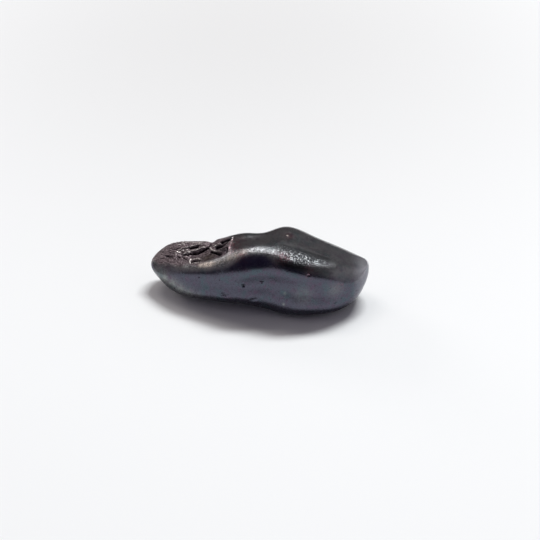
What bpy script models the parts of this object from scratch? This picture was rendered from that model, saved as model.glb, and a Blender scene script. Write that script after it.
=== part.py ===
"""A small dark meteorite, one natural piece 40 mm long, lying as it rests on a table.

Frame: +X runs from the rough, pinched lobe to the blunt end, +Y to the back and +Z up.
The origin is on the table, under the middle of the stone's box.
The tables are in millimetres; everything else is in metres.
"""

import bmesh
import bpy
import numpy as np

MM = 0.001

# Driving dimensions.
LENGTH = 40.0 * MM  # along X, tip to tip
REST_DEPTH = 0.35 * MM  # how much of the underside is worn flat where the stone lies
STEPS_ALONG, STEPS_ROUND = 44, 32  # faces along the stone and round it, before refining
REFINING = 3  # most times that a face under small relief is quartered
FINENESS = 1.0  # largest face under a mark, as a share of the mark's half width

# The stone's outer form: eight lines that run along it, each passing through one (y, z) point at every
# station. Going round the stone they follow each other from the back foot over the top to the front foot.
STATIONS = (-18.6, -15.5, -11.0, -7.0, -3.0, 1.0, 5.0, 9.5, 14.0, 18.3)
LINES = {
    "back_foot": (
        (6, 2.3), (4, 0.7), (2.85, 0.55), (2.85, 0.25), (3, 0),
        (3.4, 0), (4, 0), (3.6, 0), (2.6, 0.3), (1.55, 1.25),
    ),
    "back_side": (
        (7.4, 3.9), (7.7, 3.3), (7.05, 4), (6.65, 4.65), (6.6, 5.05),
        (7.2, 5.1), (8, 5.25), (7.4, 4.8), (5.9, 4.35), (3.85, 4),
    ),
    "back_rim": (
        (6.5, 5.5), (6.6, 7.4), (5.35, 8.5), (4.75, 9.55), (4.4, 10.9),
        (4.9, 10.7), (6.8, 10.75), (5.9, 9.6), (4.5, 8.25), (3.35, 6.7),
    ),
    "top": (
        (4.65, 5.8), (3.7, 7.4), (2.35, 8.1), (1.65, 9.65), (1.3, 11.4),
        (1.8, 11.5), (2.1, 11.6), (1, 10.45), (0.1, 9.1), (0.55, 7.25),
    ),
    "crest": (
        (3.05, 5.5), (0.6, 6.7), (-1.05, 8), (-2.1, 9.75), (-2.55, 11.3),
        (-2.55, 11.7), (-3.95, 11.5), (-4.25, 10.55), (-3.6, 9.2), (-1.95, 6.8),
    ),
    "shoulder": (
        (1.8, 4.4), (-0.7, 5.2), (-2.5, 6.3), (-3.75, 7.5), (-4.5, 8.9),
        (-4.65, 9.15), (-6.1, 9), (-6.5, 8.25), (-5.8, 7.4), (-3.4, 5),
    ),
    "front_side": (
        (1.65, 3.3), (-0.9, 3.6), (-2.9, 4.4), (-4.3, 5.05), (-5, 5.3),
        (-5, 5.45), (-6.35, 5.4), (-6.7, 4.9), (-6.1, 4.45), (-3.3, 3.45),
    ),
    "front_foot": (
        (3.4, 1.8), (-0.2, 1), (-2.7, 1.35), (-3.9, 1.55), (-4.45, 1.45),
        (-4.8, 0.75), (-6, 0.25), (-6.15, 0.25), (-5.35, 0.55), (-1.75, 1.65),
    ),
}
LOBE_TIP = (-20.0, 4.3, 4.2)
BLUNT_TIP = (20.0, 1.15, 5.8)

# The relief: every mark is a bell-shaped groove or fold that follows a line drawn on one side of the stone.
# Each gives the line's points, its half width and its height, which is negative for a groove. The points are
# plan (x, y) on the top, and (x, z) on the front and back.
MARKS = {
    "top": (
        # the scar's shallow dish, and the notch where the lobe meets the body
        (((-14.5, 1.8), (-10.5, 1.5)), 1.9, -0.30),
        (((-8.85, 3.4), (-8.5, 6.0)), 0.7, -0.45),
        # its clefts
        (((-15.0, 2.8), (-14.3, 3.0), (-13.0, 2.1), (-11.4, 2.1), (-10.0, 2.3), (-9.3, 2.5)), 0.28, -0.50),
        (((-12.7, 3.2), (-11.0, 3.2)), 0.26, -0.35),
        (((-9.0, 1.7), (-8.2, 0.9), (-7.1, -0.4)), 0.30, -0.55),
        (((-7.8, 1.4), (-6.7, 1.2)), 0.30, -0.55),
        (((-6.7, -1.1), (-6.1, -0.4), (-5.8, 0.8)), 0.28, -0.50),
        (((-6.9, 2.1), (-5.1, 2.1)), 0.40, -0.35),
        (((-12.4, -0.2), (-11.8, 0.0), (-10.7, -0.3)), 0.28, -0.50),
        # the folds between them
        (((-12.5, 2.7), (-11.2, 2.7), (-10.3, 3.0)), 0.26, 0.22),
        (((-9.0, 2.1), (-8.5, 2.2), (-7.4, 2.2)), 0.28, 0.32),
        (((-7.0, 0.2), (-6.1, 1.3)), 0.26, 0.28),
        (((-5.6, -0.7), (-4.7, 0.8)), 0.30, 0.20),
        (((-12.6, 0.6), (-10.8, 0.3)), 0.30, 0.18),
        # a pit high on the back of the body
        (((5.1, 2.3),), 0.30, -0.22),
    ),
    "front": (
        # pits
        (((0.5, 6.8),), 0.30, -0.30),
        (((-2.9, 6.1), (-2.6, 6.1)), 0.32, -0.35),
        (((-10.8, 6.5),), 0.26, -0.22),
        (((17.5, 4.6),), 0.28, -0.28),
        (((14.8, 4.1),), 0.30, -0.30),
        (((13.5, 3.5), (13.9, 3.7)), 0.28, -0.25),
        (((-6.7, 3.8), (-6.0, 4.0)), 0.40, -0.22),
        (((8.8, 9.5),), 0.30, -0.25),
    ),
    "back": (
        # three broad thumb-print hollows
        (((0.5, 3.9), (2.5, 4.2)), 3.2, -0.60),
        (((10.5, 6.1), (11.5, 5.5)), 2.4, -0.45),
        (((-14.0, 3.4), (-12.0, 3.3)), 2.2, -0.40),
        # and a few pits
        (((-4.5, 6.1), (-4.3, 6.3)), 0.30, -0.35),
        (((6.8, 3.3),), 0.28, -0.30),
        (((13.2, 5.3), (13.4, 5.2)), 0.28, -0.28),
    ),
}
OUTWARD = {"top": (0, 0, 1), "front": (0, -1, 0), "back": (0, 1, 0)}
DRAWN_IN = {"top": (0, 1), "front": (0, 2), "back": (0, 2)}  # the two axes of a side's marks
EDGE_ON, FACE_ON = 0.15, 0.55  # how squarely a surface must face a side to take none or all of its marks
MARGIN = 0.2 * MM  # how far round a mark its faces are fine


def clear_scene():
    for obj in list(bpy.data.objects):
        bpy.data.objects.remove(obj, do_unlink=True)


def crust_material():
    material = bpy.data.materials.new("dark_crust")
    material.use_nodes = True
    shader = material.node_tree.nodes["Principled BSDF"]
    shader.inputs["Base Color"].default_value = (0.045, 0.044, 0.048, 1.0)
    shader.inputs["Metallic"].default_value = 0.6
    shader.inputs["Roughness"].default_value = 0.38
    return material


def surface_points():
    """The stone's points as rings x lines x 3, with each tip as a ring of equal points."""
    rings = [
        [(x, *line[i]) for line in LINES.values()]
        for i, x in enumerate(STATIONS)
    ]
    tips = [[tip] * len(LINES) for tip in (LOBE_TIP, BLUNT_TIP)]
    return np.array([tips[0], *rings, tips[1]]) * MM


def ring_weights(count):
    """How a smooth closed line draws each of its points: two thirds the control, a sixth each neighbour."""
    eye = np.eye(count)
    return (4 * eye + np.roll(eye, 1, axis=1) + np.roll(eye, -1, axis=1)) / 6


def control_loops(points):
    """The controls of the smooth surface through the points. A line and the one opposite it make a closed
    loop over both tips, so the ends come out round."""
    _, lines, _ = points.shape
    far_side = np.roll(points, -lines // 2, axis=1)[-2:0:-1]
    loops = np.concatenate([points, far_side])
    along = np.linalg.solve(ring_weights(len(loops)), loops.reshape(len(loops), -1)).reshape(loops.shape)
    across = np.linalg.solve(ring_weights(lines), along.swapaxes(0, 1).reshape(lines, -1))
    return across.reshape(lines, len(loops), 3).swapaxes(0, 1)


def spline_weights(places, count):
    """The share of each of count controls, in a ring, at each place: the uniform cubic B-spline."""
    cell = np.floor(places).astype(int)
    t = places - cell
    parts = ((1 - t) ** 3, 3 * t**3 - 6 * t**2 + 4, -3 * t**3 + 3 * t**2 + 3 * t + 1, t**3)
    weights = np.zeros((len(places), count))
    for step, part in enumerate(parts):
        weights[np.arange(len(places)), (cell + step - 1) % count] += part / 6
    return weights


class Stone:
    """The stone's smooth surface: its point and its outward normal at any place (u, v), where u counts the
    rings from the lobe's tip to the blunt tip and v counts the lines round it."""

    def __init__(self):
        self.controls = control_loops(surface_points())
        self.rings = len(STATIONS) + 1
        self.lines = len(LINES)
        self.shift = np.zeros(3)
        self.stretch = np.ones(3)
        self.stand_on_origin()

    def points(self, places):
        along = spline_weights(places[:, 0], self.controls.shape[0])
        across = spline_weights(places[:, 1], self.lines)
        raw = np.einsum("ai,aj,ijk->ak", along, across, self.controls)
        return (raw + self.shift) * self.stretch

    def normals(self, places, step=0.01):
        inner = np.stack([np.clip(places[:, 0], step, self.rings - step), places[:, 1]], axis=1)
        ahead, aside = np.array([step, 0]), np.array([0, step])
        along = self.points(inner + ahead) - self.points(inner - ahead)
        across = self.points(inner + aside) - self.points(inner - aside)
        outward = np.cross(across, along)
        return outward / np.linalg.norm(outward, axis=1, keepdims=True)

    def stand_on_origin(self):
        """Makes the stone exactly LENGTH long and puts the bottom centre of its box at the origin, sunk by
        REST_DEPTH so that the table plane can cut its resting face."""
        u, v = np.meshgrid(np.linspace(0, self.rings, 400), np.linspace(0, self.lines, 240))
        points = self.points(np.stack([u.ravel(), v.ravel()], axis=1))
        low, high = points.min(axis=0), points.max(axis=0)
        self.shift = -(low + high) / 2
        self.shift[2] = -low[2] - REST_DEPTH
        self.stretch[0] = LENGTH / (high[0] - low[0])


def distance_to_line(points, line):
    """Distance in the plane from each point to a line of one or more points."""
    line = np.array(line) * MM
    nearest = np.full(len(points), np.inf)
    for start, end in zip(line, line[1:] if len(line) > 1 else line):
        way = end - start
        share = np.clip((points - start) @ way / max(way @ way, MM * MM * 1e-6), 0, 1)
        nearest = np.minimum(nearest, np.linalg.norm(points - start - share[:, None] * way, axis=1))
    return nearest


def relief(points, normals):
    """Height of the relief at each point: the sum of the marks' bell curves, each side's fading out where
    the surface turns away from it."""
    height = np.zeros(len(points))
    for side, marks in MARKS.items():
        facing = np.clip((normals @ np.array(OUTWARD[side]) - EDGE_ON) / (FACE_ON - EDGE_ON), 0, 1)
        drawn = points[:, DRAWN_IN[side]]
        for line, half_width, rise in marks:
            away = distance_to_line(drawn, line) / (half_width * MM)
            height += facing * rise * MM * np.exp(-away * away)
    return height


def finest_mark(points, normals):
    """Half width of the narrowest mark that reaches each point, and infinity where none does."""
    finest = np.full(len(points), np.inf)
    for side, marks in MARKS.items():
        faces_it = normals @ np.array(OUTWARD[side]) > EDGE_ON
        for line, half_width, _ in marks:
            reach = 2 * half_width * MM + MARGIN
            reached = faces_it & (distance_to_line(points[:, DRAWN_IN[side]], line) < reach)
            finest[reached] = np.minimum(finest[reached], half_width * MM)
    return finest


def flat_sheet(stone):
    """The stone's surface laid out flat: a grid of faces in (u, v)."""
    bm = bmesh.new()
    bmesh.ops.create_grid(bm, x_segments=STEPS_ALONG, y_segments=STEPS_ROUND, size=0.5)
    for vertex in bm.verts:
        vertex.co = ((vertex.co.x + 0.5) * stone.rings, (vertex.co.y + 0.5) * stone.lines, 0)
    return bm


def places_of(elements):
    return np.array([element.co[:2] for element in elements])


def refine(bm, stone):
    """Quarters the faces that are too large for the marks they lie under."""
    for _ in range(REFINING):
        bm.verts.index_update()
        bm.faces.ensure_lookup_table()
        points = stone.points(places_of(bm.verts))
        centres = np.array([face.calc_center_median()[:2] for face in bm.faces])
        loops = [points[[vertex.index for vertex in face.verts]] for face in bm.faces]
        sizes = np.array([np.linalg.norm(loop - np.roll(loop, 1, axis=0), axis=1).max() for loop in loops])
        finest = finest_mark(stone.points(centres), stone.normals(centres))
        coarse = np.flatnonzero(sizes > FINENESS * finest)
        edges = {edge for i in coarse for edge in bm.faces[i].edges}
        bmesh.ops.subdivide_edges(bm, edges=list(edges), cuts=1, use_grid_fill=True)


def roll_up(bm, stone):
    """Turns the flat sheet into the stone with its relief, and closes it along its seam and at its tips."""
    places = places_of(bm.verts)
    points, normals = stone.points(places), stone.normals(places)
    moved = points + normals * relief(points, normals)[:, None]
    for vertex, place in zip(bm.verts, moved):
        vertex.co = place
    bmesh.ops.remove_doubles(bm, verts=bm.verts, dist=0.001 * MM)
    bmesh.ops.recalc_face_normals(bm, faces=bm.faces)


def cut_resting_face(bm):
    """Takes off what lies below the table plane and closes the cut with one flat face."""
    everything = bm.verts[:] + bm.edges[:] + bm.faces[:]
    bmesh.ops.bisect_plane(
        bm, geom=everything, dist=0, plane_co=(0, 0, 0), plane_no=(0, 0, 1), clear_inner=True
    )
    rim = [edge for edge in bm.edges if edge.is_boundary]
    bmesh.ops.holes_fill(bm, edges=rim)


def build_meteorite():
    clear_scene()
    stone = Stone()
    bm = flat_sheet(stone)
    refine(bm, stone)
    roll_up(bm, stone)
    cut_resting_face(bm)
    mesh = bpy.data.meshes.new("meteorite")
    bm.to_mesh(mesh)
    bm.free()
    mesh.materials.append(crust_material())
    mesh.shade_smooth()
    collection = bpy.data.collections.new("meteorite")
    bpy.context.scene.collection.children.link(collection)
    collection.objects.link(bpy.data.objects.new("meteorite", mesh))


if __name__ == "__main__":
    build_meteorite()
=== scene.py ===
"""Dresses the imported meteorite: its crust with grain, pits and scar, and the pale table it lies on.

Lengths are in metres, as in the frame, except in the tables that say millimetres. +X runs from the rough,
pinched lobe to the blunt end, +Y to the back and +Z up.
"""

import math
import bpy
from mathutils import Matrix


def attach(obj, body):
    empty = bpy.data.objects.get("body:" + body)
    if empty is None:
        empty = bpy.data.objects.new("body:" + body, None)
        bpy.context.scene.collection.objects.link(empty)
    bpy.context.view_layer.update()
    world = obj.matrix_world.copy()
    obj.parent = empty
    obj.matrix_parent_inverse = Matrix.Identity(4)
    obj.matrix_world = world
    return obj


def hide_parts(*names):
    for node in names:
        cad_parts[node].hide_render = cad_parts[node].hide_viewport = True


bl_info = {
    "name": "Meteorite dresser",
    "version": (1, 0, 0),
    "blender": (4, 5, 0),
    "location": "View3D > Sidebar > Meteorite",
    "description": "Builds the crust of a small iron meteorite and a pale studio round it",
    "category": "Object",
}

import bpy
import numpy as np
from mathutils import Vector

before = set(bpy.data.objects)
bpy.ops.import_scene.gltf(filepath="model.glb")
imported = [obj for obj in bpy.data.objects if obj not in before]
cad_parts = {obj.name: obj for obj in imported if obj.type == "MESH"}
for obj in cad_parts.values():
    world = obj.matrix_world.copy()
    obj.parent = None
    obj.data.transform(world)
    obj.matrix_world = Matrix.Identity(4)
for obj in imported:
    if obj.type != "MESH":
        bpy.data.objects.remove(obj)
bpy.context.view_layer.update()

MM = 0.001

# The stone's outer form, in millimetres: eight lines that run along it, each passing through one (y, z)
# point at every station. Going round they follow each other from the back foot over the top to the front foot.
STATIONS = (-18.6, -15.5, -11.0, -7.0, -3.0, 1.0, 5.0, 9.5, 14.0, 18.3)
LINES = {
    "back_foot": (
        (6, 2.3), (4, 0.7), (2.85, 0.55), (2.85, 0.25), (3, 0),
        (3.4, 0), (4, 0), (3.6, 0), (2.6, 0.3), (1.55, 1.25),
    ),
    "back_side": (
        (7.4, 3.9), (7.7, 3.3), (7.05, 4), (6.65, 4.65), (6.6, 5.05),
        (7.2, 5.1), (8, 5.25), (7.4, 4.8), (5.9, 4.35), (3.85, 4),
    ),
    "back_rim": (
        (6.5, 5.5), (6.6, 7.4), (5.35, 8.5), (4.75, 9.55), (4.4, 10.9),
        (4.9, 10.7), (6.8, 10.75), (5.9, 9.6), (4.5, 8.25), (3.35, 6.7),
    ),
    "top": (
        (4.65, 5.8), (3.7, 7.4), (2.35, 8.1), (1.65, 9.65), (1.3, 11.4),
        (1.8, 11.5), (2.1, 11.6), (1, 10.45), (0.1, 9.1), (0.55, 7.25),
    ),
    "crest": (
        (3.05, 5.5), (0.6, 6.7), (-1.15, 7.8), (-2.2, 9.45), (-2.55, 11.3),
        (-2.55, 11.7), (-4.15, 11.5), (-4.35, 10.55), (-3.6, 9.2), (-1.95, 6.8),
    ),
    "shoulder": (
        (1.8, 4.4), (-0.7, 5.2), (-2.6, 6.3), (-3.95, 7.4), (-4.85, 8.65),
        (-4.9, 8.9), (-6.3, 9), (-6.55, 8.35), (-5.8, 7.4), (-3.4, 5),
    ),
    "front_side": (
        (1.65, 3.3), (-0.9, 3.6), (-2.9, 4.4), (-4.3, 5.05), (-4.9, 5.3),
        (-4.9, 5.45), (-6.35, 5.4), (-6.7, 4.9), (-6.1, 4.45), (-3.3, 3.45),
    ),
    "front_foot": (
        (3.4, 1.8), (-0.2, 1), (-2.7, 1.35), (-3.9, 1.55), (-4.45, 1.45),
        (-4.8, 0.75), (-6, 0.25), (-6.15, 0.25), (-5.35, 0.55), (-1.75, 1.65),
    ),
}
LOBE_TIP = (-20.0, 4.3, 4.2)
BLUNT_TIP = (20.0, 1.15, 5.8)
REST_DEPTH = 0.35 * MM  # how much of the underside is worn flat where the stone lies

# How the grid crowds where the detail is: (parameter, density) along the stone and round it.
CROWDING_ALONG = ((0.0, 0.8), (0.8, 2.2), (4.4, 2.2), (5.0, 1.1), (11.0, 0.9))
CROWDING_ROUND = ((0.0, 0.8), (1.6, 0.9), (2.2, 1.5), (4.4, 1.5), (5.0, 1.1), (7.0, 0.9), (8.0, 0.8))
GRID_ALONG, GRID_ROUND = 430, 225

# Marks: bell-shaped grooves and folds that follow lines: the line's points, half width, height (negative
# for a groove). The points are plan (x, y) on the top, and (x, z) on the front and back, in millimetres.
MARKS = {
    "top": (
        # the scar's dish and the notch behind it
        (((-14.5, 1.8), (-10.5, 1.5)), 1.9, -0.30),
        (((-8.85, 3.4), (-8.5, 6.0)), 0.7, -0.45),
        (((-9.2, -0.2), (-8.0, -0.5), (-6.4, -0.7)), 0.8, -0.32),
        # clefts
        (((-14.2, 2.0), (-13.6, 2.2), (-13.0, 2.1), (-12.1, 2.1)), 0.11, -0.26),
        (((-12.1, 2.1), (-11.2, 2.0), (-10.2, 2.3), (-9.3, 2.5)), 0.18, -0.60),
        (((-12.7, 3.4), (-11.9, 3.3), (-11.3, 3.3)), 0.16, -0.50),
        (((-12.3, -0.3), (-11.7, -0.2), (-10.9, -0.4)), 0.21, -0.60),
        (((-17.2, 3.1), (-16.7, 2.7), (-16.0, 2.2)), 0.12, -0.24),
        (((-15.0, 2.0), (-14.5, 1.7)), 0.11, -0.20),
        (((-13.9, 1.4), (-13.1, 0.6)), 0.11, -0.20),
        (((-9.3, 2.9), (-9.0, 3.3)), 0.12, -0.25),
        (((-7.8, 1.7), (-7.3, 1.7), (-6.7, 1.6)), 0.22, -0.55),
        (((-8.8, 1.3), (-8.0, 0.6), (-7.1, -0.6)), 0.19, -0.60),
        (((-6.6, -1.4), (-6.1, -0.8), (-5.8, 0.4)), 0.20, -0.55),
        (((-6.8, 2.4), (-6.0, 2.5), (-5.3, 2.4)), 0.30, -0.32),
        (((-7.6, 1.9), (-6.4, 1.6), (-5.8, 2.0)), 0.44, -0.20),
        (((-7.6, 1.0), (-6.7, 0.6), (-6.3, 0.2)), 0.44, -0.20),
        # folds
        (((-15.4, 2.9), (-15.0, 3.2), (-14.5, 3.5), (-14.0, 3.6)), 0.10, 0.17),
        (((-13.7, 3.6), (-13.1, 3.6), (-12.1, 3.7)), 0.10, 0.16),
        (((-11.9, 3.7), (-11.0, 3.8), (-10.3, 3.9)), 0.10, 0.13),
        (((-14.1, 4.9), (-12.7, 4.7), (-10.9, 4.1)), 0.12, 0.10),
        (((-15.0, 4.6), (-13.8, 4.5)), 0.12, 0.08),
        (((-13.2, 2.7), (-12.1, 2.7), (-11.4, 2.7), (-10.7, 2.9), (-10.1, 2.9)), 0.10, 0.15),
        (((-13.9, 2.4), (-13.4, 2.6), (-12.8, 2.5)), 0.10, 0.14),
        (((-15.3, 2.6),), 0.10, 0.13),
        (((-14.8, 2.9), (-14.6, 3.0)), 0.10, 0.16),
        (((-14.2, 3.2), (-14.0, 3.2)), 0.10, 0.16),
        (((-14.5, 2.4),), 0.10, 0.12),
        (((-13.5, 3.1), (-13.2, 3.1)), 0.10, 0.14),
        (((-12.5, -0.5), (-12.6, 0.0), (-12.5, 0.6)), 0.12, 0.20),
        (((-12.4, 0.5), (-11.4, 0.4), (-10.6, -0.1)), 0.12, 0.13),
        (((-12.0, -0.8), (-11.2, -0.9), (-10.7, -1.0)), 0.12, 0.12),
        (((-12.5, 1.0), (-11.7, 0.8), (-10.9, 0.5)), 0.10, 0.08),
        (((-9.1, 2.5), (-8.7, 1.8), (-8.2, 1.2), (-7.0, 0.3)), 0.10, 0.15),
        (((-8.2, 2.2), (-7.7, 2.3), (-7.1, 2.3)), 0.11, 0.18),
        (((-6.5, -1.6), (-6.0, -0.7), (-5.5, 0.7)), 0.12, 0.13),
        (((-5.4, 1.6), (-5.1, 1.8), (-4.9, 2.2)), 0.13, 0.12),
        # a grain that stands out high on the body
        (((5.1, 2.3),), 0.12, 0.11),
    ),
    "front": (
        # pits and nicks
        (((0.4, 6.8), (0.6, 6.8)), 0.16, -0.16),
        (((-2.9, 6.1), (-2.7, 6.1)), 0.17, -0.18),
        (((-10.8, 6.5),), 0.14, -0.10),
        (((-7.1, 6.9),), 0.12, -0.08),
        (((17.5, 4.6),), 0.16, -0.14),
        (((14.7, 4.1), (14.9, 4.2)), 0.13, -0.12),
        (((13.4, 3.5), (13.9, 3.7)), 0.14, -0.12),
        (((-6.9, 3.8), (-6.4, 4.0), (-5.9, 3.9)), 0.20, -0.10),
        (((-1.3, 3.3), (-0.5, 3.5)), 0.22, -0.08),
        (((-6.8, 4.3), (-6.5, 4.2)), 0.13, -0.14),
        (((-5.6, 4.3),), 0.12, -0.12),
        (((-4.3, 6.9),), 0.10, -0.09),
        (((2.0, 3.6),), 0.11, -0.10),
        (((8.8, 9.5),), 0.16, -0.14),
    ),
    "back": (
        # three broad thumb-print hollows, and a few pits
        (((0.5, 3.9), (2.5, 4.2)), 3.2, -0.60),
        (((10.5, 6.1), (11.5, 5.5)), 2.4, -0.45),
        (((-14.0, 3.4), (-12.0, 3.3)), 2.2, -0.40),
        (((-4.5, 6.1), (-4.3, 6.3)), 0.30, -0.35),
        (((6.8, 3.3),), 0.28, -0.30),
        (((13.2, 5.3), (13.4, 5.2)), 0.28, -0.28),
    ),
}
# The way each side of the stone faces, and the two axes that its marks are drawn in.
OUTWARD = {"top": (0, 0, 1), "front": (0, -1, 0), "back": (0, 1, 0)}
DRAWN_IN = {"top": (0, 1), "front": (0, 2), "back": (0, 2)}
EDGE_ON, FACE_ON = 0.15, 0.55  # how squarely a surface must face a side to take none or all of its marks
# Narrow grooves are also painted with shade, darker the deeper a point lies in them.
NARROW = 0.45  # half width, in millimetres, below which a groove is a dark hollow
FULL_DEPTH, FULL_RISE = 0.35, 0.20  # millimetres at which a groove's depth and a fold's rise count in full

# The scar's rim in plan, from the lobe's tip along its front and up to the back of the body.
SCAR_RIM = (
    (-19.8, 3.4), (-19.0, 2.2), (-18.2, 1.5), (-17.0, 0.6), (-15.9, -0.1), (-14.7, -0.5), (-13.7, -1.0),
    (-12.5, -1.5), (-11.4, -1.9), (-10.2, -2.2), (-8.6, -1.9), (-6.9, -2.0), (-6.1, -1.8), (-5.6, -1.0),
    (-5.2, 0.3), (-5.0, 1.7), (-5.4, 2.9), (-6.4, 4.1), (-7.9, 5.2), (-9.8, 6.0), (-12.5, 6.6),
)

# The line the crest's shine follows: x in millimetres, and place round the form, in which the crest is 4.
CREST_LINE = ((-13.0, 4.10), (-6.0, 4.10), (-3.5, 3.99), (0.0, 3.96), (9.0, 3.95), (13.0, 4.05))

# Spots on the crust: place and reach in millimetres, and strength. They are bare metal; pale spots, of which
# the broad ones along the lobe's lower edge and on the front are painted reflection and the small ones pale
# specks; reddish stains; and painted shade in the recess at the scar's end.
WORN = (
    ((-10.5, -1.9, 8.4), 0.5, 0.7),
    ((-9.7, -2.2, 8.8), 0.6, 1.0),
    ((-8.9, -2.5, 9.1), 0.6, 1.0),
    ((-8.1, -2.7, 9.3), 0.4, 0.5),
    ((-7.2, -2.9, 9.7), 0.5, 0.15),
    ((-6.3, -3.0, 10.2), 0.5, 0.15),
    ((-5.3, -3.1, 10.7), 0.6, 0.30),
    ((-4.2, -3.1, 11.1), 0.6, 0.30),
    ((-2.8, -2.9, 11.5), 0.7, 0.20),
    ((5.1, 2.3, 12.0), 0.20, 1.0),
)
PALE_SHEEN_AND_SPECKS = (
    ((-18.4, 1.2, 4.4), 1.4, 0.9),
    ((-17.3, 0.0, 3.8), 1.5, 1.0),
    ((-15.9, -0.8, 3.3), 1.5, 1.0),
    ((-14.3, -1.6, 2.7), 1.4, 0.9),
    ((-12.6, -2.4, 2.3), 1.3, 0.8),
    ((-10.8, -3.1, 2.1), 1.2, 0.6),
    ((-9.0, -3.8, 1.9), 1.1, 0.4),
    ((4.6, -6.7, 5.5), 0.25, 1.0),
    ((4.4, -7.2, 3.4), 0.25, 0.8),
    ((-0.2, -5.3, 1.7), 0.30, 1.0),
    ((8.0, -7.1, 5.3), 1.6, 0.3),
    ((13.6, -6.5, 6.1), 1.5, 0.3),
)
RUDDY = (
    ((5.3, 2.2, 12.0), 1.0, 0.7),
    ((-4.2, -0.9, 11.5), 1.4, 0.8),
    ((-3.0, -3.6, 10.8), 1.3, 0.8),
    ((4.0, -4.4, 10.8), 1.2, 0.7),
    ((8.8, -6.0, 9.5), 0.9, 0.8),
    ((14.5, -6.2, 6.8), 0.8, 0.3),
    ((-4.6, 0.6, 11.1), 1.5, 1.0),
)
# The last are painted shade in the recess at the scar's end.
SHADED = (
    ((-6.9, 0.0, 10.3), 1.3, 1.0),
    ((-9.6, -0.3, 8.8), 0.9, 0.35),
    ((-7.4, 1.6, 9.9), 0.9, 0.5),
)
NOISE_SIZE = 32  # values along each side of the noise's lattice
SEED = 7
OCTAVE_SHIFT = 7.3  # how far each octave of the noise is moved on, in its own cells

# The scar's edge: how far it wanders and in waves of what length, and how far inside its rim it begins and is
# full, once for its skin and once for its deep fibres. A fibre's length along the rim, its width and its rise.
SCAR_WANDER, SCAR_WAVES = 0.45 * MM, 1.3 * MM
SCAR_SKIN = (-0.4 * MM, 0.8 * MM)
SCAR_DEEP = (0.5 * MM, 1.8 * MM)
FIBRE_LENGTH, FIBRE_WIDTH, FIBRE_RISE = 1.7 * MM, 0.36 * MM, 1.5 * MM
FIBRE_BEND, FIBRE_BENDS = 0.5, 0.8 * MM  # share by which fibres bend, and the length of the bends
SKIN_SHARE = 0.35  # how much of the fibres' height the scar's skin has; its deep part has the rest
SWELL_LENGTH, GRAIN_LENGTH = 3.5 * MM, 0.42 * MM  # the crust's slow waves and its grain
CALM_ROOF = 0.7  # how much lower the slow waves are on the top
FINE_GRAIN, GRITTY_GRAIN = 0.2, 2.5  # share of the grain's height everywhere, and as much more on the grit

# Bands along the crest: half widths round the form, and stretches along x in millimetres, each end as the x
# where the band is gone and the x where it is full.
SHINE_WIDTH, SHINE_LEFT, SHINE_RIGHT = 0.32, (-16.0, -13.0), (14.0, 10.0)
SHINE_FADE, FADED = (1.5, 5.0), 0.8  # from where to where the shine fades, and by how much
DULL_LEFT, DULL_RIGHT, DULL_EDGE, DULL_MOST = (1.8, 4.4), (15.0, 12.0), (0.80, 0.45), 0.95
DULL_THIN, DULL_THIN_BELOW, THINNED = (7.5, 12.0), (0.0, 0.35), 0.75  # where it thins, below the crest
GRIT_WIDTH, GRIT_SHIFT = 0.29, 0.04  # the second is how far its middle lies behind the crest's line
GRIT_RIGHT, GRIT_START, GRIT_FULL = (14.0, 7.5), (-11.0, -6.0), (2.0, 5.0)  # half from its start, all when full

# How steep a face is, as its normal's z: from where to where the scar, the partly painted top and the painted
# reflection on the blunt end take hold.
SCAR_FACING, ROOF_FACING, END_SHEEN_FACING = (0.05, 0.35), (0.25, 0.75), (0.35, 0.75)
# The blunt end's painted reflection: its stretch along x, its strength, and the share that its steep side has.
END_SHEEN_STRETCH, END_SHEEN_MOST, END_SHEEN_SIDE = (16.2, 19.6), 0.8, 0.28  # the last is the share that its steep side has
RUST_X, RUST_REACH = -9.4, (1.6, 1.2)  # the middle of the scar's rusty patch and its reach along x and y

# Patches of colour: size in millimetres, detail and roughness of the noise, the values between which a patch
# starts and is full, and how strong it is.
PATCHES = {
    "teal": (2.2, 3.0, 0.6, 0.50, 0.66, 0.5),
    "violet": (1.3, 4.0, 0.7, 0.50, 0.68, 0.55),
    "freckles": (0.35, 3.0, 0.7, 0.52, 0.72, 0.5),
    "flecks": (0.26, 2.0, 0.7, 0.45, 0.57, 1.0),
    "glints": (0.17, 1.0, 0.5, 0.62, 0.69, 1.0),
    "reddish": (0.4, 3.0, 0.7, 0.42, 0.60, 1.0),
    # painted shadow: dark patches for the shade in the scar's furrows
    "furrows": (0.5, 4.0, 0.7, 0.42, 0.62, 0.85),
    "crumbs": (0.20, 2.0, 0.6, 0.57, 0.70, 0.9),
    "rust": (0.26, 2.0, 0.6, 0.46, 0.56, 0.9),
    # painted highlight on the tops of the scar's folds
    "folds": (0.24, 2.0, 0.7, 0.40, 0.54, 1.0),
    "shiny": (0.30, 3.0, 0.7, 0.32, 0.50, 1.0),
}
SHINE_MOST = 0.9  # how far the crest's flecks cover the crust under them
# Painted shade in narrow grooves and pits.
HOLLOW_SHADE = (0.15, 0.65)  # how deep in a groove its dark starts and is full

# Fine bumps of the material: size in millimetres, detail and roughness of the noise, height in millimetres.
BUMPS = {
    "pimples": (0.24, 2.0, 0.6, 0.03),
    "grit": (0.20, 2.0, 0.6, 0.10),
    "fibres": (0.40, 3.0, 0.75, 0.12),
    "dust": (0.07, 2.0, 0.6, 0.010),
}
PIMPLES_BY = (0.10, 0.5, 1.0)  # strength on the plain crust, on the crest and on the scar
DUST_BY = (0.15, 0.6, 1.0)  # and the same for the dust
FIBRE_STRETCH = (0.45, 1.0, 1.0)  # below 1 draws the fibres out along that axis

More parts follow.
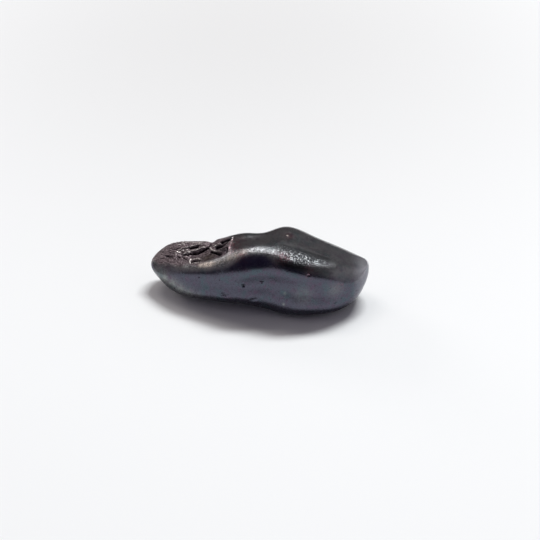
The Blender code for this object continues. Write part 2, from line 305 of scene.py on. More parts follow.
# How rough the finishes are. The first two vary between two values with the grain of this size and range.
GLOSS_GRAIN, GLOSS_DETAIL, GLOSS_RANGE = 0.5 * MM, 2.0, (0.3, 0.7)
FLANK_ROUGH, ROOF_ROUGH = (0.22, 0.30), (0.15, 0.21)
CREST_ROUGH, DULL_ROUGH, SCAR_ROUGH, WORN_ROUGH = 0.40, 0.42, 0.46, 0.18
SCAR_METAL = 0.7  # how metallic the scar is; the rest of the crust is wholly so
SPECULAR = 0.2

# The table: its half side, its colours, and the soft round shade behind the stone.
FLOOR_HALF = 3.0
FLOOR_ROUGH = 0.7
FLOOR_PALE, FLOOR_SHADED = (0.865, 0.87, 0.875), (0.70, 0.695, 0.695)
SHADE_BEHIND, SHADE_RADIUS = 0.117, 0.15  # how far behind it the middle lies, and the shade's radius

# The studio: fill from the walls of a light box that is open and dark on the camera's side.
WALL = (0.175, 0.160, 0.163)
BACK_RIGHT = (0.245, 0.238, 0.252)
SIDES = (0.205, 0.193, 0.202)
LEFT = (0.37, 0.335, 0.352)
RIGHT = (0.42, 0.407, 0.433)
OPENING = (0.030, 0.024, 0.058)
HORIZON = (0.75, 0.73, 0.74)
OPENING_LEAN = 0.9  # how far the opening's left edge leans to the back
# Where each part of the walls lies, by a direction's x, y or z: gone at the first number, full at the second.
BACK_Y, BACK_RIGHT_X, RIGHT_X = (0.2, 0.6), (0.15, 0.45), (0.50, 0.85)
LEFT_X, LEFT_Y = (-0.60, -0.80), (0.2, -0.1)
OPENING_X, OPENING_Y = (0.52, 0.24), (0.24, 0.04)
HORIZON_Y, HORIZON_Z = (0.1, -0.2), (0.03, 0.0)
LIGHTS = (
    # name, width, depth, place, watts, colour
    ("key", 0.80, 0.27, (0.44, 0.82, 1.38), 26.8, (0.97, 1.0, 1.0)),
    ("side", 0.80, 0.22, (-0.50, 0.76, 1.36), 4.2, (1.0, 0.96, 0.92)),
    ("low", 0.60, 0.40, (-1.10, 1.12, 0.50), 4.0, (1.0, 0.93, 0.91)),
    ("lamp", 0.20, 0.14, (-1.10, 0.18, 1.05), 0.35, (1.0, 0.93, 0.86)),
)
LONG_LIGHT = 0.7  # lights wider than this lie along x; the others face the stone

# The camera: degrees above the table, distance, and how far it stands to the right and up, in millimetres.
CAMERA_ELEVATION = 35
CAMERA_DISTANCE, CAMERA_RIGHT, CAMERA_UP = 263.2, 1.96, 4.85
CAMERA_LENS, CAMERA_SENSOR = 95.06, 36  # millimetres
CAMERA_NEAR, CAMERA_FAR = 0.01, 20  # metres


class StoneShape(bpy.types.PropertyGroup):
    """Heights of the fine relief."""

    fibre_height: bpy.props.FloatProperty(
        name="Fibre height", description="How high the scar's fibres stand", default=0.07 * MM, unit="LENGTH"
    )
    swell_height: bpy.props.FloatProperty(
        name="Swell height", description="Height of the crust's slow waves", default=0.05 * MM, unit="LENGTH"
    )
    grain_height: bpy.props.FloatProperty(
        name="Grain height", description="Height of the crust's grain", default=0.010 * MM, unit="LENGTH"
    )


class CrustFinish(bpy.types.PropertyGroup):
    """Colours of the crust, from the plain sides to the smallest specks."""

    # Partly painted reflection: the sides and the top take different metal colours by which way they face. The
    # sides' bluish tint stands in for the pale floor they reflect.
    flank: bpy.props.FloatVectorProperty(
        name="Flank",
        description="Metal colour of the smooth sides",
        subtype="COLOR",
        default=(0.092, 0.093, 0.123),
    )
    # Partly painted reflection: the top's lighter grey stands in for the back wall it reflects.
    roof: bpy.props.FloatVectorProperty(
        name="Roof",
        description="Metal colour of the top",
        subtype="COLOR",
        default=(0.223, 0.224, 0.230),
    )
    # Painted reflection: near-white metal that makes the blunt end look lit by the bright wall beside it, more
    # where it faces up.
    end: bpy.props.FloatVectorProperty(
        name="End",
        description="Metal colour of the blunt end",
        subtype="COLOR",
        default=(0.72, 0.73, 0.77),
    )
    # Painted reflection in the broad pale spots along the lobe's lower edge and on the front; the small ones
    # are pale specks.
    pale: bpy.props.FloatVectorProperty(
        name="Pale",
        description="Grey rubbed spots low on the lobe",
        subtype="COLOR",
        default=(0.25, 0.268, 0.262),
    )
    teal: bpy.props.FloatVectorProperty(
        name="Teal",
        description="Bluish-green stains",
        subtype="COLOR",
        default=(0.065, 0.118, 0.130),
    )
    violet: bpy.props.FloatVectorProperty(
        name="Violet",
        description="Violet stains",
        subtype="COLOR",
        default=(0.115, 0.072, 0.115),
    )
    freckles: bpy.props.FloatVectorProperty(
        name="Freckles",
        description="Small dark freckles",
        subtype="COLOR",
        default=(0.05, 0.03, 0.045),
    )
    fleck_dark: bpy.props.FloatVectorProperty(
        name="Dark flecks",
        description="Darker flecks of the crest",
        subtype="COLOR",
        default=(0.065, 0.065, 0.07),
    )
    fleck_light: bpy.props.FloatVectorProperty(
        name="Light flecks",
        description="Lighter flecks of the crest",
        subtype="COLOR",
        default=(0.27, 0.272, 0.28),
    )
    dull: bpy.props.FloatVectorProperty(
        name="Dull",
        description="Matt ground of the gritty crest",
        subtype="COLOR",
        default=(0.014, 0.014, 0.016),
    )
    glints: bpy.props.FloatVectorProperty(
        name="Glints",
        description="Sparkling grains of the crest",
        subtype="COLOR",
        default=(0.85, 0.88, 0.91),
    )
    ruddy: bpy.props.FloatVectorProperty(
        name="Ruddy",
        description="Reddish stains",
        subtype="COLOR",
        default=(0.24, 0.085, 0.115),
    )
    scar: bpy.props.FloatVectorProperty(
        name="Scar",
        description="Colour of the scar",
        subtype="COLOR",
        default=(0.122, 0.094, 0.104),
    )
    # Painted shadow: dark patches at random over the scar, for the shade in its torn furrows.
    furrows: bpy.props.FloatVectorProperty(
        name="Furrows",
        description="Dark furrows in the scar",
        subtype="COLOR",
        default=(0.035, 0.022, 0.027),
    )
    crumbs: bpy.props.FloatVectorProperty(
        name="Crumbs",
        description="Pale crumbs in the scar",
        subtype="COLOR",
        default=(0.44, 0.37, 0.38),
    )
    rust: bpy.props.FloatVectorProperty(
        name="Rust",
        description="Colour of the scar's rusty patch",
        subtype="COLOR",
        default=(0.040, 0.029, 0.022),
    )
    soot: bpy.props.FloatVectorProperty(
        name="Soot",
        description="Dark specks in the rusty patch",
        subtype="COLOR",
        default=(0.018, 0.013, 0.012),
    )
    # Painted shade: darkens the recess at the scar's end.
    shade: bpy.props.FloatVectorProperty(
        name="Shade",
        description="The scar's dark end",
        subtype="COLOR",
        default=(0.030, 0.020, 0.026),
    )
    # Painted highlight: near-white laid on the tops of the scar's folds, where light catches them.
    folds: bpy.props.FloatVectorProperty(
        name="Folds",
        description="Bright edges of the scar's folds",
        subtype="COLOR",
        default=(0.95, 0.88, 0.84),
    )
    worn: bpy.props.FloatVectorProperty(
        name="Worn",
        description="Bare metal on the crest's left end",
        subtype="COLOR",
        default=(0.88, 0.78, 0.69),
    )
    # Painted shade: the dark laid into clefts and pits.
    hollow_shade: bpy.props.FloatVectorProperty(
        name="Hollows",
        description="The dark of clefts and pits",
        subtype="COLOR",
        default=(0.009, 0.006, 0.009),
    )


def smoothstep(value, low, high):
    """An even S from 0 to 1: t squared times (3 - 2t), where t is how far the value has come from low to high,
    held between 0 and 1."""
    share = np.clip((value - low) / (high - low), 0, 1)
    return share * share * (3 - 2 * share)


def bell(value):
    """A bell of height 1 and half width 1: e to the power of minus the value squared."""
    return np.exp(-value * value)


def surface_points():
    """The points that the stone passes through, as rings x lines x 3: at each station one point of each line,
    with x from the station and y and z from the line. Each tip is a ring of equal points."""
    rings = [[(x, *line[i]) for line in LINES.values()] for i, x in enumerate(STATIONS)]
    tips = [[tip] * len(LINES) for tip in (LOBE_TIP, BLUNT_TIP)]
    return np.array([tips[0], *rings, tips[1]]) * MM


def ring_weights(count):
    """How a closed cubic B-spline draws each of its points: two thirds of its own control and a sixth of each
    neighbour's."""
    eye = np.eye(count)
    return (4 * eye + np.roll(eye, 1, axis=1) + np.roll(eye, -1, axis=1)) / 6


def control_loops(points):
    """The controls of the smooth surface through the points. A line and the one opposite it make a closed loop
    over both tips, so that the ends come out round. The controls are what the ring weights turn into the
    points: that is solved along each loop first and then round each ring."""
    _, lines, _ = points.shape
    far_side = np.roll(points, -lines // 2, axis=1)[-2:0:-1]
    loops = np.concatenate([points, far_side])
    along = np.linalg.solve(ring_weights(len(loops)), loops.reshape(len(loops), -1)).reshape(loops.shape)
    across = np.linalg.solve(ring_weights(lines), along.swapaxes(0, 1).reshape(lines, -1))
    return across.reshape(lines, len(loops), 3).swapaxes(0, 1)


def spline_weights(places, count):
    """The share of each of count controls, in a ring, at each place: the uniform cubic B-spline. Between two
    controls, at t from 0 to 1, the four nearest have a sixth of (1 - t) cubed, of 3t cubed - 6t squared + 4,
    of -3t cubed + 3t squared + 3t + 1, and of t cubed."""
    cell = np.floor(places).astype(int)
    t = places - cell
    parts = np.stack([(1 - t) ** 3, 3 * t**3 - 6 * t**2 + 4, -3 * t**3 + 3 * t**2 + 3 * t + 1, t**3]) / 6
    weights = np.zeros((len(places), count))
    rows = np.arange(len(places))
    for step, part in enumerate(parts):
        weights[rows, (cell + step - 1) % count] += part
    return weights


def crowded(count, crowding, closed):
    """count parameters from the first stop to the last, closer together where the density is higher: they lie
    at even steps of the density's running sum. A closed run leaves out the last, which is the first again."""
    stops, density = np.array(crowding).T
    fine = np.linspace(stops[0], stops[-1], 2000)
    reach = np.concatenate([[0], np.cumsum(np.interp(fine[1:], stops, density))])
    shares = np.linspace(0, reach[-1], count + 1)[:-1] if closed else np.linspace(0, reach[-1], count)
    return np.interp(shares, reach, fine)


def stone_grid():
    """The smooth stone S(u, v): the sum over the controls of each one's B-spline share at u along the stone
    times its share at v round it. It is then moved so that its box stands on the origin, sunk by REST_DEPTH."""
    controls = control_loops(surface_points())
    along = spline_weights(crowded(GRID_ALONG, CROWDING_ALONG, closed=False), controls.shape[0])
    around = spline_weights(crowded(GRID_ROUND, CROWDING_ROUND, closed=True), controls.shape[1])
    grid = np.einsum("ai,bj,ijk->abk", along, around, controls)
    low, high = grid.reshape(-1, 3).min(axis=0), grid.reshape(-1, 3).max(axis=0)
    shift = -(low + high) / 2
    shift[2] = -low[2] - REST_DEPTH
    return grid + shift


def grid_normals(grid):
    """Outward normals of the grid: the cross product of its steps round and along, at length 1. The tips face
    along x."""
    along = np.gradient(grid, axis=0)
    across = np.roll(grid, -1, axis=1) - np.roll(grid, 1, axis=1)
    normals = np.cross(across, along)
    length = np.linalg.norm(normals, axis=2, keepdims=True)
    normals = normals / np.maximum(length, 1e-12)
    normals[0], normals[-1] = (-1, 0, 0), (1, 0, 0)
    return normals


class Noise:
    """Smooth noise from -1 to 1: random values on a repeating lattice, blended by S-curves between them."""

    def __init__(self, seed):
        self.lattice = np.random.default_rng(seed).uniform(-1, 1, (NOISE_SIZE,) * 3)

    def __call__(self, points):
        """The sum of the cell's eight corner values, each times its share along x, y and z, where a share is
        6t^5 - 15t^4 + 10t^3 or what that leaves of 1."""
        cell = np.floor(points).astype(int)
        t = points - cell
        t = t * t * t * (t * (t * 6 - 15) + 10)
        total = 0
        for corner in np.ndindex(2, 2, 2):
            at = (cell + corner) % NOISE_SIZE
            weight = np.prod(np.where(corner, t, 1 - t), axis=-1)
            total = total + weight * self.lattice[at[..., 0], at[..., 1], at[..., 2]]
        return total

    def layered(self, points, octaves):
        """Octaves of noise, each twice as fine and half as strong, and moved on so that they don't line up."""
        return sum(self(points * 2**k + OCTAVE_SHIFT * k) / 2**k for k in range(octaves))


def distance_to_line(points, line):
    """Distance in the plane from each point to a line of one or more points: to the nearest place on each
    stretch, which is the point's shadow on it, held between its ends; the least of them all."""
    line = np.array(line) * MM
    nearest = np.full(points.shape[:-1], np.inf)
    for start, end in zip(line, line[1:] if len(line) > 1 else line):
        way = end - start
        share = np.clip((points - start) @ way / max(way @ way, MM * MM * 1e-6), 0, 1)
        nearest = np.minimum(nearest, np.linalg.norm(points - start - share[..., None] * way, axis=-1))
    return nearest


def marks_relief(points, normals):
    """Height of the marks at each point: the sum of every mark's rise times a bell of the point's distance over
    the mark's half width, times how squarely the surface faces the mark's side. Also how far each point is down
    a narrow groove and up a fold, from 0 to 1: the most that any mark gives."""
    height, hollow, lip = (np.zeros(points.shape[:-1]) for _ in range(3))
    for side, marks in MARKS.items():
        facing = np.clip((normals @ np.array(OUTWARD[side]) - EDGE_ON) / (FACE_ON - EDGE_ON), 0, 1)
        drawn = points[..., DRAWN_IN[side]]
        for line, half_width, rise in marks:
            away = distance_to_line(drawn, line) / (half_width * MM)
            share = facing * bell(away)
            height += rise * MM * share
            if rise < 0 and half_width < NARROW:
                hollow = np.maximum(hollow, share * min(1.0, -rise / FULL_DEPTH))
            elif rise > 0:
                lip = np.maximum(lip, share * min(1.0, rise / FULL_RISE))
    return height, hollow, lip


def scar_places(points):
    """For each point, in plan, how far it lies inside the scar's rim, and how far along the rim. The first is
    its distance to the rim's nearest stretch, and is negative to the right of the rim's direction."""
    rim = np.array(SCAR_RIM) * MM
    plan = points[..., :2]
    best = np.full(plan.shape[:-1], np.inf)
    inside = np.zeros(plan.shape[:-1])
    along = np.zeros(plan.shape[:-1])
    run = 0.0
    for start, end in zip(rim, rim[1:]):
        way = end - start
        length = np.linalg.norm(way)
        offset = plan - start
        share = np.clip(offset @ way / length**2, 0, 1)
        gap = offset - share[..., None] * way
        distance = np.linalg.norm(gap, axis=-1)
        side = np.sign(way[0] * offset[..., 1] - way[1] * offset[..., 0])
        closer = distance < best
        best = np.where(closer, distance, best)
        inside = np.where(closer, side * distance, inside)
        along = np.where(closer, run + share * length, along)
        run += length
    return inside, along


def scar_skin(points, normals, noise):
    """How fully each point is scarred, in the skin and deep down, and how high the fibres stand there, -1 to 1.
    The first two are S-curves of the distance inside the rim, which noise makes wander, times one of how much
    the surface faces up. The fibres are 1 less twice the size, without its sign, of noise that is drawn out
    along the rim."""
    inside, along_rim = scar_places(points)
    up = smoothstep(normals[..., 2], *SCAR_FACING)
    edge = inside + noise.layered(points / SCAR_WAVES, 2) * SCAR_WANDER
    skin = smoothstep(edge, *SCAR_SKIN) * up
    deep = smoothstep(edge, *SCAR_DEEP) * up
    drawn = [along_rim / FIBRE_LENGTH, inside / FIBRE_WIDTH, points[..., 2] / FIBRE_RISE]
    streaks = np.stack(drawn, axis=-1) + FIBRE_BEND * noise(points / FIBRE_BENDS)[..., None]
    return skin, deep, 1 - 2 * np.abs(noise.layered(streaks, 2))


def crest_bands(x):
    """The crest's shine, its dull ground and its grit at each point, 0 to 1. Each is a bell or a flat-topped
    S-curve of how far round the form the point lies from the crest's line, times S-curves along x."""
    around = crowded(GRID_ROUND, CROWDING_ROUND, closed=True)
    off_crest = around - np.interp(x, *zip(*CREST_LINE))
    shine = bell(off_crest / SHINE_WIDTH) * smoothstep(x, *SHINE_LEFT) * smoothstep(x, *SHINE_RIGHT)
    shine = shine * (1 - FADED * smoothstep(x, *SHINE_FADE))
    dull = DULL_MOST * smoothstep(x, *DULL_LEFT) * smoothstep(x, *DULL_RIGHT)
    dull = dull * smoothstep(np.abs(off_crest), *DULL_EDGE)
    dull = dull * (1 - THINNED * smoothstep(x, *DULL_THIN) * smoothstep(off_crest, *DULL_THIN_BELOW))
    grit = bell((off_crest + GRIT_SHIFT) / GRIT_WIDTH) * smoothstep(x, *GRIT_RIGHT)
    grit = grit * (0.5 * smoothstep(x, *GRIT_START) + 0.5 * smoothstep(x, *GRIT_FULL))
    return shine, dull, grit


def spotted(places, spots):
    """How strongly each place, in millimetres, lies in one of the spots: the most that any of them gives, each
    its strength times a bell of the distance from its middle over its reach."""
    strength = 0.0
    for middle, reach, share in spots:
        away = np.linalg.norm(places - np.array(middle), axis=-1) / reach
        strength = np.maximum(strength, share * bell(away))
    return strength


def build_stone_mesh(shape):
    """The crust: the smooth stone S(u, v) moved out along its normals by a height, and held above the table.
    The height is the marks' sum, plus the scar's fibres, plus slow waves outside the scar that are lower on the
    top, plus a grain that is higher on the crest's grit."""
    grid = stone_grid()
    normals = grid_normals(grid)
    noise = Noise(SEED)
    places = grid / MM
    x = places[..., 0]
    scar, deep, fibres = scar_skin(grid, normals, noise)
    crest, dull, gritty = crest_bands(x)
    marks, hollow, lip = marks_relief(grid, normals)
    roof = smoothstep(normals[..., 2], *ROOF_FACING)
    torn = (SKIN_SHARE * scar + (1 - SKIN_SHARE) * deep) * shape.fibre_height * fibres
    calm = (1 - scar) * (1 - CALM_ROOF * roof)
    swell = calm * shape.swell_height * noise.layered(grid / SWELL_LENGTH, 2)
    grain = (FINE_GRAIN + GRITTY_GRAIN * gritty) * shape.grain_height * noise.layered(grid / GRAIN_LENGTH, 2)
    moved = grid + normals * (marks + torn + swell + grain)[..., None]
    moved[..., 2] = np.maximum(moved[..., 2], 0.0)
    top_share = smoothstep(normals[..., 2], *END_SHEEN_FACING)
    masks = {
        "scar": scar,
        # depth down a narrow groove, which the material paints as shade
        "hollow": hollow,
        # fold tops in the scar, which the material paints with highlights
        "lip": lip * scar,
        "roof": roof,
        # painted reflection on the blunt end, stronger where it faces up
        "end": END_SHEEN_MOST * smoothstep(x, *END_SHEEN_STRETCH) * (END_SHEEN_SIDE + (1 - END_SHEEN_SIDE) * top_share),
        "rust": bell((x - RUST_X) / RUST_REACH[0]) * bell(places[..., 1] / RUST_REACH[1]),
        "crest": crest,
        "dull": dull,
        "gritty": gritty,
        "worn": spotted(places, WORN),
        # broad spots: painted reflection; small ones: pale specks
        "pale": spotted(places, PALE_SHEEN_AND_SPECKS),
        "ruddy": spotted(places, RUDDY),
        # painted shade in the recess at the scar's end
        "shade": spotted(places, SHADED),
    }
    return mesh_from_grid("meteorite_crust", moved, masks)


def mesh_from_grid(name, grid, masks):
    """A closed mesh of the grid. Its first and last rows are one point each, with a fan of triangles, and
    between the other rows each square joins a point, the next along, and both their neighbours round."""
    rows, columns = grid.shape[:2]
    rings = grid[1:-1].reshape(-1, 3)
    points = np.concatenate([rings, [grid[0].mean(axis=0)], [grid[-1].mean(axis=0)]])
    at = np.arange((rows - 2) * columns).reshape(rows - 2, columns)
    right = np.roll(at, -1, axis=1)
    quads = np.stack([at[:-1], at[1:], right[1:], right[:-1]], axis=-1).reshape(-1, 4)
    first, last = len(rings), len(rings) + 1
    fans = [
        np.stack([np.full(columns, first), at[0], right[0]], axis=-1),
        np.stack([np.full(columns, last), right[-1], at[-1]], axis=-1),
    ]
    mesh = bpy.data.meshes.new(name)
    mesh.from_pydata(points, [], quads.tolist() + fans[0].tolist() + fans[1].tolist())
    mesh.update()
    for key, values in masks.items():
        layer = mesh.attributes.new(key, "FLOAT", "POINT")
        flat = np.concatenate([values[1:-1].ravel(), [values[0].mean()], [values[-1].mean()]])
        layer.data.foreach_set("value", flat.astype(np.float32))
    mesh.shade_smooth()
    return mesh


class Nodes:
    """Adds nodes to a tree: each method adds one or a few and gives their output."""

    def __init__(self, tree):
        self.tree = tree

    def node(self, kind, inputs=(), **settings):
        """A node of this kind, with its settings and with its inputs fed."""
        node = self.tree.nodes.new(kind)
        for key, value in settings.items():
            setattr(node, key, value)
        for key, value in dict(inputs).items():
            self.feed(node.inputs[key], value)
        return node

    def feed(self, socket, value):
        """Links an output to the socket, or sets the socket's own value."""
        if isinstance(value, bpy.types.NodeSocket):
            self.tree.links.new(value, socket)
        else:
            socket.default_value = value

    def remap(self, value, low, high, to_low=0.0, to_high=1.0):
        """A straight ramp from one range to another, held at its ends."""
        inputs = {"Value": value, "From Min": low, "From Max": high, "To Min": to_low, "To Max": to_high}
        return self.node("ShaderNodeMapRange", inputs).outputs["Result"]

    def rise(self, value, low, high):
        """An even S from 0 at low to 1 at high."""
        inputs = {"Value": value, "From Min": low, "From Max": high}
        return self.node("ShaderNodeMapRange", inputs, interpolation_type="SMOOTHSTEP").outputs["Result"]

    def math(self, operation, first, second):
        """Two numbers put together by the operation."""
        return self.node("ShaderNodeMath", {0: first, 1: second}, operation=operation).outputs[0]

    def times(self, first, second):
        """One number times the other."""
        return self.math("MULTIPLY", first, second)

    def mix(self, share, first, second):
        """The first number turning into the second by the share."""
        return self.node("ShaderNodeMix", {"Factor": share, 2: first, 3: second}).outputs[0]

    def blend(self, share, first, second):
        """The first colour turning into the second by the share."""
        inputs = {"Factor": share, 6: rgba(first), 7: rgba(second)}
        return self.node("ShaderNodeMix", inputs, data_type="RGBA").outputs[2]


class Recipe(Nodes):
    """One material's nodes."""

    def __init__(self, name):
        self.material = bpy.data.materials.new(name)
        self.material.use_nodes = True
        super().__init__(self.material.node_tree)
        self.shader = self.tree.nodes["Principled BSDF"]
        self.place = self.node("ShaderNodeTexCoord").outputs["Object"]

    def set(self, **sockets):
        """Feeds the shader's sockets, named with underscores for spaces."""
        for key, value in sockets.items():
            self.feed(self.shader.inputs[key.replace("_", " ")], value)

    def attribute(self, key):
        """A value that the piece's own points carry."""
        return self.node("ShaderNodeAttribute", attribute_name=key).outputs["Fac"]

    def noise(self, size, detail, roughness=0.5, stretch=None):
        """Noise of this size on the piece's own coordinates, which may be stretched first."""
        place = self.place
        if stretch is not None:
            place = self.node("ShaderNodeMapping", {"Vector": place, "Scale": stretch}).outputs["Vector"]
        inputs = {"Vector": place, "Scale": 1 / size, "Detail": detail, "Roughness": roughness}
        return self.node("ShaderNodeTexNoise", inputs).outputs["Fac"]

    def patches(self, name):
        """The named patches: noise ramped up between two values, to its strength."""
        size, detail, roughness, low, high, most = PATCHES[name]
        return self.remap(self.noise(size * MM, detail, roughness), low, high, 0.0, most)

    def by_finish(self, crest, scar, strengths):
        """A number that goes from the plain crust's to the crest's, and then to the scar's."""
        plain, crested, scarred = strengths
        return self.mix(scar, self.mix(crest, plain, crested), scarred)

    def bump(self, name, strength, normal=None, stretch=None):
        """The named bumps, by strength, over the normal of those before."""
        size, detail, roughness, height = BUMPS[name]
        pattern = self.noise(size * MM, detail, roughness, stretch)
        inputs = {"Height": pattern, "Distance": height * MM, "Strength": strength}
        if normal is not None:
            inputs["Normal"] = normal
        return self.node("ShaderNodeBump", inputs).outputs["Normal"]


def rgba(value):
    """A colour socket as it is, or a colour as four numbers."""
    return value if isinstance(value, bpy.types.NodeSocket) else (*value[:3], 1.0)


def scar_colour(recipe, finish, mask):
    """The scar: brown with painted shadow in its furrows and pale crumbs, a rusty patch, painted shade in the
    recess at its end and painted highlights on its folds.
    """
    # painted shadow in the scar's furrows
    colour = recipe.blend(recipe.patches("furrows"), finish.scar, finish.furrows)
    colour = recipe.blend(recipe.patches("crumbs"), colour, finish.crumbs)
    colour = recipe.blend(mask["rust"], colour, recipe.blend(recipe.patches("rust"), finish.rust, finish.soot))
    # painted shade in the recess at the scar's end
    colour = recipe.blend(mask["shade"], colour, finish.shade)
    # painted highlight on the fold tops
    return recipe.blend(recipe.times(mask["lip"], recipe.patches("folds")), colour, finish.folds)


def crust_colour(recipe, finish, mask, shiny):
    """The crust: each finish over the one before, from the plain sides to the painted shade of the pits."""
    # partly painted reflection: sides and top coloured by which way they face
    colour = recipe.blend(mask["roof"], finish.flank, finish.roof)
    # painted reflection in the broad pale spots, pale specks in the small ones
    colour = recipe.blend(mask["pale"], colour, finish.pale)
    for stain in ("teal", "violet", "freckles"):
        colour = recipe.blend(recipe.patches(stain), colour, getattr(finish, stain))
    flecked = recipe.blend(recipe.patches("flecks"), finish.fleck_dark, finish.fleck_light)
    colour = recipe.blend(recipe.times(mask["crest"], SHINE_MOST), colour, flecked)
    # the blunt end's painted reflection
    colour = recipe.blend(mask["end"], colour, finish.end)
    colour = recipe.blend(mask["dull"], colour, finish.dull)
    colour = recipe.blend(recipe.times(mask["gritty"], recipe.patches("glints")), colour, finish.glints)
    colour = recipe.blend(recipe.times(mask["ruddy"], recipe.patches("reddish")), colour, finish.ruddy)
    colour = recipe.blend(mask["scar"], colour, scar_colour(recipe, finish, mask))
    colour = recipe.blend(shiny, colour, finish.worn)
    # painted shade in clefts and pits, by how deep a point lies in them
    return recipe.blend(recipe.remap(mask["hollow"], *HOLLOW_SHADE), colour, finish.hollow_shade)


def crust_roughness(recipe, mask, shiny):
    """The crust's roughness: glossy with a grain on sides and top, rougher on the crest and the scar."""
    grain = recipe.noise(GLOSS_GRAIN, GLOSS_DETAIL)
    flank = recipe.remap(grain, *GLOSS_RANGE, *FLANK_ROUGH)
    rough = recipe.mix(mask["roof"], flank, recipe.remap(grain, *GLOSS_RANGE, *ROOF_ROUGH))
    for key, value in (("crest", CREST_ROUGH), ("dull", DULL_ROUGH), ("scar", SCAR_ROUGH)):
        rough = recipe.mix(mask[key], rough, value)
    return recipe.mix(shiny, rough, WORN_ROUGH)


def crust_material(finish):
    """Dark metal with a sparkling crest, a rough brown scar and a blunt end made pale by a painted reflection.
    """
    recipe = Recipe("crust")
    keys = "scar hollow lip rust shade roof end pale ruddy worn crest gritty dull".split()
    mask = {key: recipe.attribute(key) for key in keys}
    shiny = recipe.times(mask["worn"], recipe.patches("shiny"))
    normal = recipe.bump("pimples", recipe.by_finish(mask["crest"], mask["scar"], PIMPLES_BY))
    normal = recipe.bump("grit", mask["gritty"], normal)
    normal = recipe.bump("fibres", mask["scar"], normal, FIBRE_STRETCH)
    normal = recipe.bump("dust", recipe.by_finish(mask["crest"], mask["scar"], DUST_BY), normal)
    recipe.set(
        Base_Color=crust_colour(recipe, finish, mask, shiny),
        Metallic=recipe.mix(mask["scar"], 1.0, SCAR_METAL),
        Specular_IOR_Level=SPECULAR,
        Roughness=crust_roughness(recipe, mask, shiny),
        Normal=normal,
    )
    return recipe.material


def floor_material():
    """Pale grey, a shade darker in a soft round area behind the stone: a ball of SHADE_RADIUS, from 1 in its
    middle to 0 at its edge."""
    recipe = Recipe("floor")
    scale = 1 / SHADE_RADIUS
    inputs = {"Vector": recipe.place, "Location": (0, -SHADE_BEHIND * scale, 0), "Scale": (scale,) * 3}
    near = recipe.node("ShaderNodeMapping", inputs).outputs["Vector"]
    ball = recipe.node("ShaderNodeTexGradient", {"Vector": near}, gradient_type="SPHERICAL").outputs["Fac"]
    colour = recipe.blend(recipe.rise(ball, 0.0, 1.0), FLOOR_PALE, FLOOR_SHADED)
    recipe.set(Base_Color=colour, Roughness=FLOOR_ROUGH)
    return recipe.material


def world_light():
    """The light box: grey walls, brighter at the sides, with a dark opening on the camera's side and a bright
    strip low down below it. Each part is laid over those before it, by the S-curves of a direction's x, y and z
    that say where it lies, multiplied together."""
    world = bpy.data.worlds.new("studio")
    world.use_nodes = True
    box = Nodes(world.node_tree)
    direction = box.node("ShaderNodeTexCoord").outputs["Generated"]
    x, y, z = box.node("ShaderNodeSeparateXYZ", {0: direction}).outputs
    back = box.rise(y, *BACK_Y)
    walls = box.blend(back, SIDES, WALL)
    walls = box.blend(box.times(back, box.rise(x, *BACK_RIGHT_X)), walls, BACK_RIGHT)
    walls = box.blend(box.rise(x, *RIGHT_X), walls, RIGHT)
    walls = box.blend(box.times(box.rise(x, *LEFT_X), box.rise(y, *LEFT_Y)), walls, LEFT)
    leaning = box.math("MINIMUM", box.times(x, OPENING_LEAN), 0.0)
    front = box.rise(box.math("SUBTRACT", y, leaning), *OPENING_Y)
    walls = box.blend(box.times(front, box.rise(x, *OPENING_X)), walls, OPENING)
    low = box.times(box.rise(z, *HORIZON_Z), box.rise(y, *HORIZON_Y))
    box.feed(world.node_tree.nodes["Background"].inputs["Color"], box.blend(low, walls, HORIZON))
    return world


def add_object(scene, name, data):
    """A new object of the data, linked to the scene."""
    thing = bpy.data.objects.new(name, data)
    scene.collection.objects.link(thing)
    return thing


def add_floor(scene):
    """The table: one square at z = 0."""
    mesh = bpy.data.meshes.new("floor")
    s = FLOOR_HALF
    mesh.from_pydata([(-s, -s, 0), (s, -s, 0), (s, s, 0), (-s, s, 0)], [], [(0, 1, 2, 3)])
    mesh.materials.append(floor_material())
    return add_object(scene, "floor", mesh)


def look(thing, way):
    """Turns a light or a camera to look along the way, with its x level."""
    thing.rotation_mode = "QUATERNION"
    thing.rotation_quaternion = way.to_track_quat("-Z", "Y")


def add_light(scene, name, width, depth, place, watts, colour):
    """A flat oblong light that faces the stone, or the x axis where it is long."""
    data = bpy.data.lights.new(name, "AREA")
    data.shape = "RECTANGLE"
    data.size, data.size_y = width, depth
    data.energy = watts
    data.color = colour
    light = add_object(scene, name, data)
    light.location = place
    aim = Vector((place[0] if width > LONG_LIGHT else 0, 0, 0))
    look(light, aim - Vector(place))


def add_camera(scene):
    """The camera: back from the origin along its own way of looking, then moved to the right and up."""
    elevation = math.radians(CAMERA_ELEVATION)
    back_way = Vector((0, -math.cos(elevation), math.sin(elevation)))
    up = Vector((0, math.sin(elevation), math.cos(elevation)))
    right = Vector((1, 0, 0))
    data = bpy.data.cameras.new("camera")
    data.lens = CAMERA_LENS
    data.sensor_width = CAMERA_SENSOR
    data.clip_start, data.clip_end = CAMERA_NEAR, CAMERA_FAR
    camera = add_object(scene, "camera", data)
    camera.location = (back_way * CAMERA_DISTANCE + right * CAMERA_RIGHT + up * CAMERA_UP) * MM
    look(camera, -back_way)
    scene.camera = camera


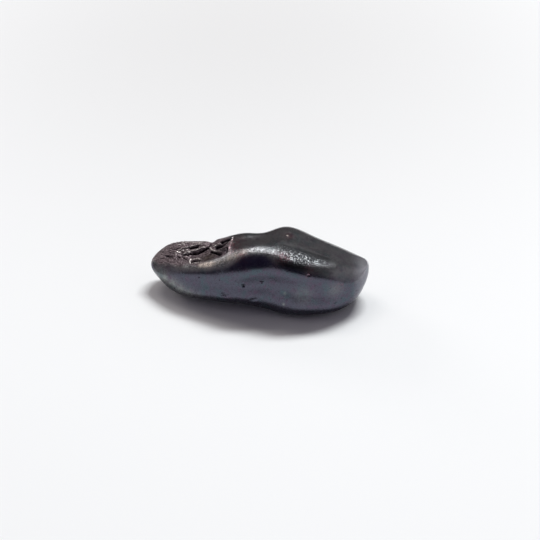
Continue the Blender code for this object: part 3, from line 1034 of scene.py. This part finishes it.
class METEORITE_OT_stone(bpy.types.Operator):
    """Builds the stone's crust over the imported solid"""

    bl_idname = "meteorite.stone"
    bl_label = "Stone"

    def execute(self, context):
        mesh = build_stone_mesh(context.scene.stone_shape)
        if mesh.validate():
            raise RuntimeError("the stone's mesh has faulty faces")
        mesh.materials.append(crust_material(context.scene.crust_finish))
        stone = add_object(context.scene, "meteorite_crust", mesh)
        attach(stone, "root")
        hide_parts("meteorite")
        return {"FINISHED"}


class METEORITE_OT_stage(bpy.types.Operator):
    """Lays the pale table and sets the lights and the camera"""

    bl_idname = "meteorite.stage"
    bl_label = "Stage"

    def execute(self, context):
        scene = context.scene
        scene.view_settings.view_transform = "Standard"
        floor = add_floor(scene)
        scene.world = world_light()
        for light in LIGHTS:
            add_light(scene, *light)
        add_camera(scene)
        return {"FINISHED"}


class METEORITE_PT_panel(bpy.types.Panel):
    """Lists the steps that dress the meteorite, with the sizes and colours they use"""

    bl_label = "Meteorite"
    bl_idname = "METEORITE_PT_panel"
    bl_space_type = "VIEW_3D"
    bl_region_type = "UI"
    bl_category = "Meteorite"

    def draw(self, context):
        layout = self.layout
        for settings in (context.scene.stone_shape, context.scene.crust_finish):
            column = layout.column()
            for name in settings.bl_rna.properties.keys():
                if name not in {"rna_type", "name"}:
                    column.prop(settings, name)
        layout.operator("meteorite.stone")
        layout.operator("meteorite.stage")


CLASSES = (StoneShape, CrustFinish, METEORITE_OT_stone, METEORITE_OT_stage, METEORITE_PT_panel)


def register():
    """Registers the classes and gives every scene its settings."""
    for cls in CLASSES:
        bpy.utils.register_class(cls)
    bpy.types.Scene.stone_shape = bpy.props.PointerProperty(type=StoneShape)
    bpy.types.Scene.crust_finish = bpy.props.PointerProperty(type=CrustFinish)


def unregister():
    """Takes back what register did, in the other order."""
    del bpy.types.Scene.crust_finish
    del bpy.types.Scene.stone_shape
    for cls in reversed(CLASSES):
        bpy.utils.unregister_class(cls)


def main():
    """Registers the classes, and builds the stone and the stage."""
    register()
    bpy.ops.meteorite.stone()
    bpy.ops.meteorite.stage()


if __name__ == "__main__":
    main()
